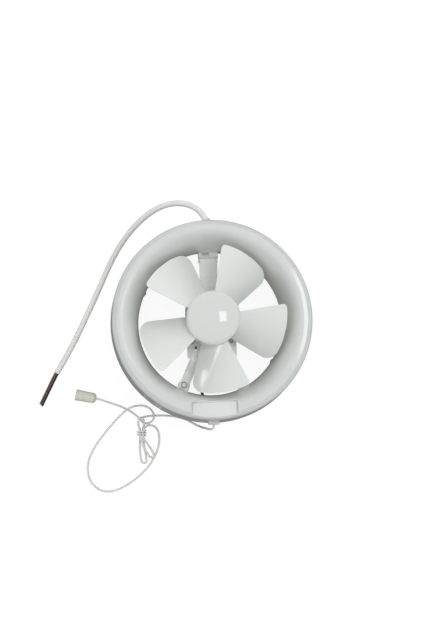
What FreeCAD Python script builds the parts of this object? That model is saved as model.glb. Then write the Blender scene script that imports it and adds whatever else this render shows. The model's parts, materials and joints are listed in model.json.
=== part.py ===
import FreeCAD, Part
import math
import os
from FreeCAD import Vector

# A round exhaust fan for a window pane, lying on its back: a flared ring on the room side, a tube
# through the pane with a clamp ring behind it, a motor on a three-armed bracket, and a pull switch.
# Millimetres. +Z is the fan's axis and points to the room, +Y to the supply cable, -Y to the pull cord.
# The rear end of the clamp ring stands on z = 0.

# Impeller
IMPELLER_R = 73.3       # radius at the blade tips
BLADES = 5
BLADE_FIRST = 58.7      # bearing of the first blade's middle line, from +X towards +Y
BLADE_T = 1.9           # blade thickness at the root; the tip has three quarters of it
BLADE_DROP = 14.5       # the blades' mid-height, below the crest of the ring
ROOT_RISE = 0.93        # axial rise over tangential width at the hub
MID_RISE = 0.66         # the same at two thirds of the radius
TIP_RISE = 0.51         # the same at the tip
CAMBER = 0.055          # height of a blade section's arch over its width
LEAD_ROOT_DEG = 25.5    # bearing of the leading edge at the hub, from the middle line
LEAD_TIP_DEG = 22.3
TRAIL_ROOT_DEG = 33.0
TRAIL_TIP_DEG = 23.4
LEAD_CORNER_R = 4.0
TRAIL_CORNER_R = 11.0
HUB_R = 26.5
HUB_DEPTH = 35.0
HUB_PROUD = 10.0        # the hub's top, above the crest of the ring
HUB_SKIN = 2.0
HUB_EDGE = 6.5          # height over which the side rounds into the top
HUB_ROUND = 4.0         # the same, counted inward
HUB_CROWN = 1.9         # rise of the nearly flat top
HUB_SLOPE = 0.16        # its fall at the rounding
HUB_BOSS_R = 6.5
HUB_RIBS = 5
HUB_RIB_T = 1.6

# Ring on the room side
TIP_GAP = 1.7           # throat radius over the impeller's
FLARE_W = 15.0          # widening of the mouth, from the throat to the crest
FLARE_DEPTH = 45.0
CREST_W = 4.0
CREST_EDGE_R = 1.2
BEVEL_H = 4.0
WALL_DEPTH = 39.0
WALL_DRAFT = 4.2        # the wall's lean towards the axis, over its depth
SHOULDER_R = 4.5
SKIN = 2.5
SEAT_Z = 58.0           # the face that meets the pane
THROAT_BACK = 10.0      # how far the throat reaches behind that face
LIP_R = 1.0

# Nameplate pad on the ring
PAD_W = 45.0
PAD_REACH = 16.3        # from its outer edge towards the axis
PAD_OUT = 3.4           # its outer edge, beyond the crest
PAD_SLOPE = 5.0         # fall over its reach
PAD_T = 4.2
PLATE_MARGIN = 1.0
PLATE_T = 1.0
PLATE_FLUSH = 0.3       # how far the nameplate stands proud of its recess

# Tube through the pane, gasket and clamp ring
SPIGOT_STEP = 14.0      # outside of the tube, over the throat radius
SPIGOT_WALL = 2.5
SEAT_W = 14.2           # rim of the ring, over the outside of the tube
FLANGE_T = 3.0
SLIP = 0.4              # gap between mouldings that slide together
GASKET_T = 2.0
PANE_GAP = 6.0          # room for the pane
CLAMP_T = 3.0
CLAMP_EDGE = 1.0        # the clamp flange stops short of the rim
CLAMP_EAR_Z = 3.6       # underside of the ears that take the clamp screws
CLAMP_TRAVEL = 3.6      # clamping travel left between ears and tube
BOSS_R = 4.0
BOSS_COUNT = 4
CLAMP_FIRST = 60.0      # bearing of the first clamp screw
RING_FIRST = 20.0       # bearing of the first screw between tube and ring

# Screws
SCREW_D = 3.5
SCREW_HEAD_D = 7.0
SCREW_HEAD_H = 2.2
SCREW_LEN = 12.0
PILOT_GAP = 0.2         # a screw hole's radius over the screw's

# Motor bracket
SHEET = 1.2
TAB_T = 4.0             # moulded tabs in the throat that carry the bracket
TAB_W = 12.0
FOOT_IN = 5.0           # screw place at a foot, inside the throat radius
FOOT_FLAT = 14.0        # level run of a leg, inside its screw
LEG_DEG = 25.0          # each leg's bearing, from straight down
LEG_W = 10.0
LEG_RISE = 8.0          # plate above the feet
LEG_BEND = 12.0         # radial length of the slope
LEG_SIDE = 3.0
ARM_W = 18.4
ARM_SIDE = 5.0
PLATE_LIP = 0.5         # the plate's sides, beyond the motor's
PLATE_UP = 26.0
PLATE_DOWN = 40.0
PLATE_CHAMFER = 5.0
SLOT_IN = 8.9           # slots, from the plate's sides
SLOT_Y = 17.3
SLOT_W = 3.0
SLOT_L = 5.6
SOCKET_H = 6.5          # moulded socket over the end of the upper arm
SOCKET_DEPTH = 6.5
WINDOW_W = 3.2

# Motor
STACK_W = 50.0
STACK_CORNER_R = 7.0
STACK_H = 18.0
SHIELD_H = 11.0
SHIELD_WALL = 1.6
BEARING_R = 5.5
BEARING_H = 8.0
BOSS_WALL = 2.5
BOLT_EDGE = 4.5         # through bolts, inside the stack's sides
BOLT_D = 3.0
BOLT_HEAD_D = 5.5
BOLT_HEAD_H = 2.0
SHAFT_D = 5.0
RUNNING_GAP = 0.03      # radial, shaft in bearing
ROTOR_SHARE = 0.254     # rotor radius over the stack's width
AIR_GAP = 0.4
END_RING_H = 3.0
POLE_T = 2.1            # iron between the rotor's bore and the winding windows
YOKE_T = 2.0            # iron outside them
WINDOW_WIDE = 12.0
COIL_GAP = 0.4
COIL_RISE = 6.5
COIL_ROUND = 2.2

# Supply cable
CABLE_D = 6.0
CABLE_Z = 68.0
CABLE_TILT = 25.0       # the cable leaves the wall at this angle, leaning to -X
GROMMET_R = 4.6
GROMMET_NECK_R = 3.9
GROMMET_OUT = 4.0
GROMMET_IN = 6.5
CORE_D = 2.4
TERMINAL_W = 18.0
TERMINAL_L = 12.0
TERMINAL_H = 10.0
LEAD_D = 3.0
LEAD_OUT = 1.8          # leads through the flange, outside the circle of the bosses
LEAD_REACH = 10.0       # their first bend, inside the throat
FEED_D = 2.4

# Pull switch and cord
PULL_Z = 70.0
PULL_X = -1.6            # the switch and the nameplate sit a little left of the middle plane
PULL_TRAVEL = 6.0
CORD_D = 2.2
NOZZLE_W = 11.0
NOZZLE_OUT = 2.6
NOZZLE_BORE_R = 2.3
NOZZLE_NECK_R = 3.6
CASE_W = 22.0
CASE_L = 15.0
CASE_H = 18.0
CASE_WALL = 1.6
CASE_BACK = 5.0         # gap from the foot of the ring's wall to the case
STEM_R = 1.7
STEM_GAP = 0.35
PISTON_R = 5.0
PISTON_T = 1.8
SPRING_R = 3.3
SPRING_WIRE = 0.6
SPRING_TURNS = 4
KNOB_LEN = 22.0
KNOB_R = 6.1            # at the wide end
KNOB_NOSE_R = 5.4
TIE_R = 4.5             # wrap that ties the hank
TIE_TURNS = 2.0
TIE_PITCH = 2.8

# Derived levels and radii
THROAT_R = IMPELLER_R + TIP_GAP
FLARE_R = THROAT_R + FLARE_W
CREST_R = FLARE_R + CREST_W
SPIGOT_R = THROAT_R + SPIGOT_STEP
RIM_R = SPIGOT_R + SEAT_W
SHOULDER_Z = SEAT_Z + WALL_DEPTH
SHOULDER_RIM = RIM_R - WALL_DRAFT
CREST_Z = SHOULDER_Z + BEVEL_H
FLARE_Z = CREST_Z - FLARE_DEPTH
THROAT_Z = SEAT_Z - THROAT_BACK
BOSS_AT = (THROAT_R + SKIN + SPIGOT_R - SPIGOT_WALL) / 2
LEAD_AT = BOSS_AT + LEAD_OUT
FOOT_Z = THROAT_Z + TAB_T
FOOT_R = THROAT_R - FOOT_IN
PLATE_Z = FOOT_Z + LEG_RISE
PLATE_HALF = STACK_W / 2 + PLATE_LIP
SLOT_X = PLATE_HALF - SLOT_IN
BOLT_AT = STACK_W / 2 - BOLT_EDGE
ROTOR_R = STACK_W * ROTOR_SHARE
WINDOW_IN = ROTOR_R + AIR_GAP + POLE_T
WINDOW_OUT = STACK_W / 2 - YOKE_T
STACK_TOP = PLATE_Z - SHIELD_H
STACK_BOTTOM = STACK_TOP - STACK_H
BLADE_Z = CREST_Z - BLADE_DROP
HUB_TOP = CREST_Z + HUB_PROUD
HUB_REAR = HUB_TOP - HUB_DEPTH
FLANGE_TOP = SEAT_Z + FLANGE_T
PULL_WALL_R = RIM_R - WALL_DRAFT * (PULL_Z - SEAT_Z) / WALL_DEPTH
CABLE_WALL_R = RIM_R - WALL_DRAFT * (CABLE_Z - SEAT_Z) / WALL_DEPTH
NOZZLE_Y = -(PULL_WALL_R + NOZZLE_OUT)
FLOOR_CORD = CORD_D / 2 + 0.1
FLOOR_CABLE = CABLE_D / 2 + 0.1
BEZIER_QUARTER = 0.5523  # handle length of a quarter ellipse

# Routes. X and Y are counted from the exit, Z from the floor.
CABLE_ROUTE = [
    (0.0, 0.0, CABLE_Z), (-2.96, 6.35, CABLE_Z), (-10.5, 14.8, CABLE_Z - 2.4), (-22.6, 20.7, 61.0),
    (-37.4, 21.9, 55.0), (-52.3, 18.1, 48.5), (-66.7, 9.7, 40.5), (-80.1, -1.4, 31.5),
    (-91.8, -14.5, 22.0), (-101.7, -28.9, 13.2), (-110.5, -44.8, 6.4), (-118.8, -62.2, FLOOR_CABLE),
    (-129.5, -84.5, FLOOR_CABLE), (-143.5, -112.8, FLOOR_CABLE), (-154.3, -132.4, FLOOR_CABLE),
    (-165.1, -150.1, FLOOR_CABLE),
]
BROWN_ROUTE = [
    (0.0, 0.0, 3.1), (-2.1, -3.7, 3.0), (-7.0, -13.0, 1.9), (-12.4, -23.6, 1.3), (-17.4, -33.6, 1.3),
]
BLUE_ROUTE = [
    (0.0, 0.0, 3.1), (-2.1, -3.7, 3.0), (-7.0, -13.0, 1.9), (-12.4, -23.6, 1.3), (-17.7, -34.2, 1.3),
]
# The pull cord: out of the nozzle, down to the floor and along the ring
PULL_LEAD = [
    (0.0, 0.0, PULL_Z), (0.0, -2.8, PULL_Z), (-2.1, -4.4, 68.2), (-3.6, -4.7, 64.0), (-5.8, -4.5, 56.0),
    (-8.6, -3.9, 46.0), (-11.6, -3.0, 34.0), (-14.8, -1.8, 22.5), (-18.8, 0.4, 12.0), (-23.8, 3.2, 4.8),
    (-30.4, 6.2, 1.6), (-41.0, 8.9, FLOOR_CORD), (-53.7, 10.1, FLOOR_CORD), (-65.3, 10.2, FLOOR_CORD),
]
PULL_HANK = [
    # down the first strand and back up the second
    (-72.5, 9.3, FLOOR_CORD), (-77.2, 7.6, FLOOR_CORD), (-79.0, 3.6, 1.6), (-77.7, -0.9, 3.4),
    (-76.5, -5.2, 4.3), (-76.5, -10.5, 4.3), (-77.4, -17.1, 2.8), (-77.6, -24.2, FLOOR_CORD),
    (-77.2, -30.8, FLOOR_CORD), (-76.6, -35.7, FLOOR_CORD), (-76.0, -38.9, FLOOR_CORD),
    (-74.4, -40.4, FLOOR_CORD), (-72.2, -40.5, FLOOR_CORD), (-70.6, -39.0, FLOOR_CORD),
    (-70.8, -35.8, FLOOR_CORD), (-71.4, -31.4, FLOOR_CORD), (-72.4, -25.1, FLOOR_CORD),
    (-73.1, -18.1, 2.6), (-73.5, -11.4, 4.3), (-73.5, -5.3, 4.3),
    # round the top of the knot
    (-72.6, -0.7, 4.2), (-71.6, 3.3, 4.6), (-72.2, 6.5, 5.8), (-74.6, 8.5, 7.0), (-77.4, 7.5, 7.6),
    (-78.6, 4.3, 7.6), (-77.6, -0.3, 7.3),
    # down the third strand, which crosses the second, and up the fourth
    (-76.5, -5.3, 7.1), (-76.5, -10.5, 7.1), (-75.6, -16.2, 6.0), (-73.8, -21.9, 5.0),
    (-71.2, -27.0, 4.5), (-68.8, -30.6, 4.2), (-67.6, -33.0, 4.0), (-66.2, -34.6, 3.9),
    (-64.0, -34.6, 3.9), (-62.6, -33.1, 3.9), (-62.8, -30.1, 3.8), (-64.6, -26.6, 3.5),
    (-67.4, -22.4, 3.5), (-70.2, -18.2, 4.8), (-72.4, -14.3, 6.4), (-73.5, -10.1, 7.1),
    (-73.3, -5.3, 7.1), (-71.4, -1.7, 6.6), (-68.0, -0.1, 4.2),
]
PULL_LOOP = [
    (-64.4, 0.1, 1.8), (-60.3, -1.7, FLOOR_CORD), (-57.4, -5.9, FLOOR_CORD), (-55.6, -13.4, FLOOR_CORD),
    (-57.1, -23.4, FLOOR_CORD), (-61.0, -33.2, FLOOR_CORD), (-66.7, -41.9, FLOOR_CORD),
    (-74.0, -49.9, FLOOR_CORD), (-82.9, -57.1, FLOOR_CORD), (-92.7, -63.3, FLOOR_CORD),
    (-102.3, -67.7, FLOOR_CORD), (-112.0, -69.4, FLOOR_CORD), (-120.6, -67.8, FLOOR_CORD),
    (-127.7, -62.5, FLOOR_CORD), (-132.7, -55.0, FLOOR_CORD), (-134.5, -45.6, FLOOR_CORD),
    (-133.2, -34.5, FLOOR_CORD), (-128.1, -23.8, FLOOR_CORD), (-120.0, -12.5, FLOOR_CORD),
    (-110.0, -0.7, 1.4), (-99.7, 9.9, 2.6), (-92.1, 16.8, 4.3), (-85.2, 20.6, 4.3), (-77.4, 22.0, 2.6),
    (-69.7, 21.0, 2.0), (-63.9, 17.1, 3.4), (-61.0, 11.7, 4.3), (-61.3, 6.5, 3.9),
]
# through the knot, over the first strand, and on to the knob
PULL_TAIL = [
    (-64.6, 3.1, 2.8), (-68.6, 2.0, 1.7), (-72.0, 2.4, 1.6), (-74.4, 4.5, 3.2), (-76.2, 7.0, 4.4),
    (-78.6, 9.5, 4.2), (-81.8, 12.4, 2.4), (-86.1, 15.6, FLOOR_CORD), (-92.1, 19.2, FLOOR_CORD),
    (-100.6, 23.1, FLOOR_CORD), (-109.3, 26.2, 1.7), (-115.4, 28.7, 4.2), (-119.1, 30.2, KNOB_R),
    (-123.0, 31.1, KNOB_R),
]
TIE_X = -75.0           # middle of the wrap, from the exit
TIE_Y = -5.2
TIE_Z = FLOOR_CORD + TIE_R

ORIGIN = Vector(0, 0, 0)
UP = Vector(0, 0, 1)


def polar(radius, degrees, z=0.0):
    """A point at a radius and a bearing."""
    turn = math.radians(degrees)
    return Vector(radius * math.cos(turn), radius * math.sin(turn), z)


def turned(shape, degrees):
    """A copy of the shape, turned about the fan's axis."""
    copy = shape.copy()
    copy.rotate(ORIGIN, UP, degrees)
    return copy


def placed(shape, position, axis):
    """A copy of the shape with its own +Z laid along the axis, at a position."""
    copy = shape.copy()
    copy.Placement = FreeCAD.Placement(position, FreeCAD.Rotation(UP, axis))
    return copy


def bearings(first, count):
    return [first + 360.0 * i / count for i in range(count)]


def path_edges(points, radii, closed=False):
    """Straight runs through the points, with each corner rounded by an arc of its own radius."""
    count = len(points)
    corners = []
    for i, point in enumerate(points):
        if radii[i] == 0:
            corners.append((point, None, point))
            continue
        back = (points[i - 1] - point).normalize()
        onward = (points[(i + 1) % count] - point).normalize()
        half = back.getAngle(onward) / 2
        reach = radii[i] / math.tan(half)
        depth = radii[i] / math.sin(half) - radii[i]
        inward = (back + onward).normalize()
        corners.append((point + back * reach, point + inward * depth, point + onward * reach))
    edges = []
    for i in range(count if closed else count - 1):
        start = corners[i][2]
        end, middle, leave = corners[(i + 1) % count]
        if (end - start).Length > 1e-6:
            edges.append(Part.LineSegment(start, end).toShape())
        if middle is not None:
            edges.append(Part.Arc(end, middle, leave).toShape())
    return edges


def quarter_curve(start, corner, end):
    """A quarter ellipse from start to end, tangent there to the lines through the corner."""
    curve = Part.BezierCurve()
    first = start + (corner - start) * BEZIER_QUARTER
    second = end + (corner - end) * BEZIER_QUARTER
    curve.setPoles([start, first, second, end])
    return curve.toShape()


def section(corners):
    """Points of a half section from (radius, z) pairs."""
    return [Vector(radius, 0, z) for radius, z in corners]


def revolved(edges):
    return Part.Face(Part.Wire(edges)).revolve(ORIGIN, UP, 360)


def lathe(corners, radii=None):
    """A turned solid from a closed half section of (radius, z) corners."""
    points = section(corners)
    return revolved(path_edges(points, radii or [0] * len(points), closed=True))


def cylinder(radius, height, base=ORIGIN, axis=UP):
    return Part.makeCylinder(radius, height, base, axis)


def box(x0, x1, y0, y1, z0, z1):
    return Part.makeBox(x1 - x0, y1 - y0, z1 - z0, Vector(x0, y0, z0))


def prism(corners, z0, z1, radii=None):
    """An upright solid from a closed outline of (x, y) corners."""
    points = [Vector(x, y, z0) for x, y in corners]
    wire = Part.Wire(path_edges(points, radii or [0] * len(points), closed=True))
    return Part.Face(wire).extrude(Vector(0, 0, z1 - z0))


def rounded_square(side, radius, z0, z1):
    half = side / 2
    return prism([(-half, -half), (half, -half), (half, half), (-half, half)], z0, z1, [radius] * 4)


def slot(x, y, width, length, z0, z1):
    """An upright slot with round ends, long in Y."""
    reach = (length - width) / 2
    body = box(x - width / 2, x + width / 2, y - reach, y + reach, z0, z1)
    for end in (y - reach, y + reach):
        body = body.fuse(cylinder(width / 2, z1 - z0, Vector(x, end, z0)))
    return body.removeSplitter()


def least_gap(points, diameter, skip):
    """Smallest clear distance between stretches of a tube that lie more than skip points apart."""
    least = 1e9
    for i, point in enumerate(points):
        for other in points[i + skip:]:
            least = min(least, point.distanceToPoint(other))
    return least - diameter


def tube(name, points, diameter, check_gap=False):
    """A round cord along straight runs joined by tangent arcs."""
    count = len(points)
    radii = [0.0] * count
    for i in range(1, count - 1):
        back = points[i] - points[i - 1]
        onward = points[i + 1] - points[i]
        turn = back.getAngle(onward)
        if turn > 0.005:
            radii[i] = 0.45 * min(back.Length, onward.Length) / math.tan(turn / 2)
    wire = Part.Wire(path_edges(points, radii))
    rim = Part.Wire(Part.Circle(points[0], points[1] - points[0], diameter / 2).toShape())
    solid = wire.makePipeShell([rim], True, False)
    whole = math.pi * diameter * diameter / 4 * wire.Length
    tightest = min(radius for radius in radii if radius > 0)
    print("%s: length %.1f, tightest radius %.2f (%.1f diameters), volume over section x length %.4f"
          % (name, wire.Length, tightest, tightest / diameter, solid.Volume / whole))
    if check_gap:
        steps = wire.discretize(Distance=diameter / 4)
        print("%s: least gap to itself %.2f" % (name, least_gap(steps, diameter, 14)))
    return solid


def route(points, exit_point):
    """A route's points in the fan's frame."""
    return [Vector(exit_point.x + x, exit_point.y + y, z) for x, y, z in points]


def joined(before, points, after):
    """One stretch of a cord, taken halfway along the runs that join it to its neighbours."""
    whole = list(points)
    if before:
        whole = [(before[-1] + points[0]) * 0.5] + whole
    if after:
        whole = whole + [(points[-1] + after[0]) * 0.5]
    return whole


def pan_screw(length, diameter=SCREW_D, head_d=SCREW_HEAD_D, head_h=SCREW_HEAD_H):
    """A cross-recessed pan-head screw; the underside of its head is at z = 0 and the shank points down."""
    shank_r = diameter / 2
    tip = shank_r * 0.6
    body = lathe(
        [(0, -length), (shank_r - tip, -length), (shank_r, -length + tip), (shank_r, 0), (head_d / 2, 0),
         (head_d / 2, head_h), (0, head_h)],
        [0, 0, 0, 0, 0, head_h * 0.75, 0])
    arm = head_d * 0.3
    width = head_d * 0.07
    recess = box(-arm, arm, -width, width, head_h * 0.45, head_h + 1)
    return body.cut(recess).cut(turned(recess, 90))


def ring_skin_edges():
    """Outer half of the ring's section: seat, wall, shoulder, bevel, crest and flare, down to the throat."""
    outside = section([(RIM_R, SEAT_Z), (SHOULDER_RIM, SHOULDER_Z), (CREST_R, CREST_Z), (FLARE_R, CREST_Z)])
    flare_end = Vector(THROAT_R, 0, FLARE_Z)
    edges = path_edges(outside, [0, SHOULDER_R, CREST_EDGE_R, 0])
    edges.append(quarter_curve(outside[-1], Vector(THROAT_R, 0, CREST_Z), flare_end))
    return edges


def wall_cone():
    """Everything inside the outside of the ring's wall."""
    return Part.makeCone(RIM_R, SHOULDER_RIM, WALL_DEPTH, Vector(0, 0, SEAT_Z))


def ring_filled():
    """The ring as if it were solid, to trim what stands inside it."""
    bottom = section([(THROAT_R, FLARE_Z), (THROAT_R, SEAT_Z), (RIM_R, SEAT_Z)])
    return revolved(ring_skin_edges() + path_edges(bottom, [0] * 3))


def ring_shell():
    bevel = math.atan2(BEVEL_H, SHOULDER_RIM - CREST_R)
    crest_in = CREST_R - SKIN * math.tan(bevel / 2)
    wall_in = SHOULDER_Z - SKIN * math.tan(math.pi / 4 - bevel / 2)
    lip = section([(THROAT_R, FLARE_Z), (THROAT_R, THROAT_Z), (THROAT_R + SKIN, THROAT_Z),
                   (THROAT_R + SKIN, FLARE_Z)])
    inside = section([(FLARE_R, CREST_Z - SKIN), (crest_in, CREST_Z - SKIN), (SHOULDER_RIM - SKIN, wall_in),
                      (RIM_R - SKIN, SEAT_Z), (RIM_R, SEAT_Z)])
    inner_corner = Vector(THROAT_R + SKIN, 0, CREST_Z - SKIN)
    edges = ring_skin_edges()
    edges += path_edges(lip, [0, LIP_R, LIP_R, 0])
    edges.append(quarter_curve(lip[-1], inner_corner, inside[0]))
    edges += path_edges(inside, [0] * 5)
    return revolved(edges)


def pad_solid(margin, top, thickness):
    """A flat on the ring for the nameplate, sloping towards the axis."""
    outer = CREST_R + PAD_OUT
    inner = outer - PAD_REACH
    slope = PAD_SLOPE / PAD_REACH
    high = CREST_Z - PAD_OUT * slope + top - margin * slope
    low = high - (PAD_REACH - 2 * margin) * slope
    half = PAD_W / 2 - margin
    left = PULL_X - half
    near = -outer + margin
    far = -inner - margin
    corners = [Vector(left, near, high), Vector(left, far, low), Vector(left, far, low - thickness),
               Vector(left, near, high - thickness)]
    block = Part.Face(Part.makePolygon(corners + corners[:1])).extrude(Vector(2 * half, 0, 0))
    return block.common(cylinder(outer - margin, CREST_Z * 2))


def foot_tab():
    """One tab in the throat, along +X, that a bracket foot is screwed to."""
    half = TAB_W / 2
    body = box(FOOT_R, THROAT_R + SKIN / 2, -half, half, THROAT_Z, FOOT_Z)
    return body.fuse(cylinder(half, TAB_T, Vector(FOOT_R, 0, THROAT_Z))).removeSplitter()


def arm_socket():
    """The tab and the hooded socket at the top of the throat, along +X, that hold the upper arm."""
    half = ARM_W / 2 + 1.0
    start = THROAT_R - SOCKET_DEPTH
    tab = box(start - 4.0, THROAT_R + SKIN / 2, -half, half, THROAT_Z, FOOT_Z)
    hood_z = FOOT_Z + SHEET + SLIP
    hood = box(start, THROAT_R + SKIN / 2, -half, half, hood_z, FOOT_Z + SOCKET_H)
    for side in (-half, half - 0.9):
        hood = hood.fuse(box(start, THROAT_R + SKIN / 2, side, side + 0.9, FOOT_Z, hood_z))
    for middle in (1.2, 5.2):
        side = middle - WINDOW_W / 2
        pocket = box(start + 1.2, start + 5.2, side, side + WINDOW_W, hood_z - 1, CREST_Z)
        hood = hood.cut(pocket)
    return tab.fuse(hood)


def front_ring():
    shape = ring_shell()
    filled = ring_filled()
    filled.translate(Vector(0, 0, -SKIN / 2))
    pilot_r = SCREW_D / 2 + PILOT_GAP
    for bearing in bearings(RING_FIRST, BOSS_COUNT):
        place = polar(BOSS_AT, bearing, FLANGE_TOP)
        boss = cylinder(BOSS_R, CREST_Z - FLANGE_TOP, place).common(filled)
        shape = shape.fuse(boss).cut(cylinder(pilot_r, SCREW_LEN, place))
    clear = PAD_SLOPE + BEVEL_H
    shape = shape.cut(pad_solid(0, clear, clear)).fuse(pad_solid(0, 0, PAD_T))
    shape = shape.cut(pad_solid(PLATE_MARGIN, BEVEL_H, BEVEL_H + PLATE_T - PLATE_FLUSH))
    for side in (-1, 1):
        bearing = -90 + side * LEG_DEG
        shape = shape.fuse(turned(foot_tab(), bearing))
        shape = shape.cut(cylinder(pilot_r, TAB_T * 2, polar(FOOT_R, bearing, THROAT_Z - TAB_T / 2)))
    shape = shape.fuse(turned(arm_socket(), 90))
    shape = shape.cut(cylinder(GROMMET_NECK_R, GROMMET_IN * 2, grommet_point(-GROMMET_IN), grommet_axis()))
    neck = Vector(PULL_X, -PULL_WALL_R + SKIN * 2, PULL_Z)
    return shape.cut(cylinder(NOZZLE_NECK_R, SKIN * 3, neck, Vector(0, -1, 0))).removeSplitter()


def nameplate():
    return pad_solid(PLATE_MARGIN + 0.15, PLATE_FLUSH, PLATE_T)


def rear_tube():
    """Tube through the pane with the flange that closes the ring's back."""
    tube_in = SPIGOT_R - SPIGOT_WALL
    tube_end = CLAMP_EAR_Z + CLAMP_T + CLAMP_TRAVEL
    flange_r = RIM_R - SKIN - SLIP * 2
    shape = lathe([(tube_in, tube_end), (SPIGOT_R, tube_end), (SPIGOT_R, SEAT_Z), (flange_r, SEAT_Z),
                   (flange_r, FLANGE_TOP), (THROAT_R + SKIN + SLIP, FLANGE_TOP),
                   (THROAT_R + SKIN + SLIP, SEAT_Z), (tube_in, SEAT_Z)])
    pilot_r = SCREW_D / 2 + PILOT_GAP
    for bearing in bearings(CLAMP_FIRST, BOSS_COUNT):
        place = polar(BOSS_AT, bearing, tube_end)
        shape = shape.fuse(cylinder(BOSS_R, SEAT_Z - tube_end, place))
        shape = shape.cut(cylinder(pilot_r, SCREW_LEN, place))
    for bearing in bearings(RING_FIRST, BOSS_COUNT):
        shape = shape.cut(cylinder(pilot_r, FLANGE_T * 3, polar(BOSS_AT, bearing, SEAT_Z - FLANGE_T)))
    for lead in (motor_lead_points(), return_lead_points()):
        hole = Vector(lead[0].x, lead[0].y, SEAT_Z - FLANGE_T)
        shape = shape.cut(cylinder(LEAD_D / 2 + SLIP, FLANGE_T * 3, hole))
    return shape.removeSplitter()


def pane_gasket():
    inner = SPIGOT_R + SLIP
    outer = RIM_R - CLAMP_EDGE * 1.5
    low = SEAT_Z - GASKET_T
    return lathe([(inner, low), (outer, low), (outer, SEAT_Z), (inner, SEAT_Z)])


def clamp_ring():
    """Ring behind the pane: flange towards the pane, skirt round the tube, ears for the screws."""
    face = SEAT_Z - GASKET_T - PANE_GAP
    inner = SPIGOT_R + SLIP
    outer = inner + SPIGOT_WALL
    shape = lathe(
        [(inner, 0), (outer, 0), (outer, face - CLAMP_T), (RIM_R - CLAMP_EDGE, face - CLAMP_T),
         (RIM_R - CLAMP_EDGE, face), (inner, face)],
        [0, 1.0, 2.0, 1.2, 0, 0])
    ear = box(BOSS_AT, inner + SPIGOT_WALL / 2, -BOSS_R, BOSS_R, CLAMP_EAR_Z, CLAMP_EAR_Z + CLAMP_T)
    ear = ear.fuse(cylinder(BOSS_R, CLAMP_T, Vector(BOSS_AT, 0, CLAMP_EAR_Z)))
    ear = ear.cut(cylinder(SCREW_D / 2 + PILOT_GAP, CLAMP_T, Vector(BOSS_AT, 0, CLAMP_EAR_Z)))
    for bearing in bearings(CLAMP_FIRST, BOSS_COUNT):
        shape = shape.fuse(turned(ear, bearing))
    return shape.removeSplitter()


def rear_screws(first, z):
    """Screws driven from behind, with their heads on the plane z."""
    down = Vector(0, 0, -1)
    return Part.makeCompound([placed(pan_screw(SCREW_LEN), polar(BOSS_AT, bearing, z), down)
                              for bearing in bearings(first, BOSS_COUNT)])


def strip(corners, width, sides, side_end):
    """A bent strip along +X with upright sides, from its underside (radius, z) corners."""
    half = width / 2
    lower = [Vector(x, -half, z) for x, z in corners]
    upper = [point + Vector(0, 0, SHEET) for point in reversed(lower)]
    web = Part.Face(Part.makePolygon(lower + upper + lower[:1])).extrude(Vector(0, width, 0))
    foot = Vector(side_end, -half, corners[-1][1])
    edge = lower[:-1] + [foot]
    top = [point + Vector(0, 0, sides) for point in reversed(edge)]
    side = Part.Face(Part.makePolygon(edge + top + edge[:1])).extrude(Vector(0, SHEET, 0))
    far = side.copy()
    far.translate(Vector(0, width - SHEET, 0))
    return web.fuse(side).fuse(far).removeSplitter()


def motor_bracket():
    bottom = -PLATE_DOWN
    narrow = PLATE_HALF - PLATE_CHAMFER
    start = bottom + PLATE_CHAMFER
    outline = [(-PLATE_HALF, PLATE_UP), (-PLATE_HALF, start), (-narrow, bottom), (narrow, bottom),
               (PLATE_HALF, start), (PLATE_HALF, PLATE_UP)]
    shape = prism(outline, PLATE_Z, PLATE_Z + SHEET, [3, 2, 2, 2, 2, 3])
    bend = FOOT_R - FOOT_FLAT - LEG_BEND
    leg = strip([(PLATE_UP, PLATE_Z), (bend, PLATE_Z), (bend + LEG_BEND, FOOT_Z), (THROAT_R - 0.8, FOOT_Z)],
                LEG_W, LEG_SIDE, bend + LEG_BEND + 2.0)
    hole = cylinder(SCREW_D / 2 + PILOT_GAP, SHEET * 3, Vector(FOOT_R, 0, FOOT_Z - SHEET))
    for side in (-1, 1):
        shape = shape.fuse(turned(leg.cut(hole), -90 + side * LEG_DEG))
    arm_end = THROAT_R - 1.2
    bend = PLATE_UP + 12.0
    arm = strip([(PLATE_UP - 4.0, PLATE_Z), (bend, PLATE_Z), (bend + LEG_BEND, FOOT_Z), (arm_end, FOOT_Z)],
                ARM_W, ARM_SIDE, THROAT_R - SOCKET_DEPTH - 1.0)
    shape = shape.fuse(turned(arm, 90))
    low = PLATE_Z - SHEET
    high = PLATE_Z + SHEET * 3
    shape = shape.cut(cylinder(BEARING_R + BOSS_WALL + SLIP, high - low, Vector(0, 0, low)))
    for x in (-SLOT_X, SLOT_X):
        for y in (-SLOT_Y, SLOT_Y):
            shape = shape.cut(slot(x, y, SLOT_W, SLOT_L, low, high))
        shape = shape.cut(slot(x, -SLOT_Y - SLOT_L * 1.6, SLOT_W * 0.8, SLOT_L * 0.9, low, high))
    for x in (-BOLT_AT, BOLT_AT):
        for y in (-BOLT_AT, BOLT_AT):
            shape = shape.cut(cylinder(BOLT_D / 2 + PILOT_GAP, high - low, Vector(x, y, low)))
    return shape.removeSplitter()


def bracket_screws():
    z = FOOT_Z + SHEET
    return Part.makeCompound([placed(pan_screw(SCREW_LEN), polar(FOOT_R, -90 + side * LEG_DEG, z), UP)
                              for side in (-1, 1)])


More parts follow.
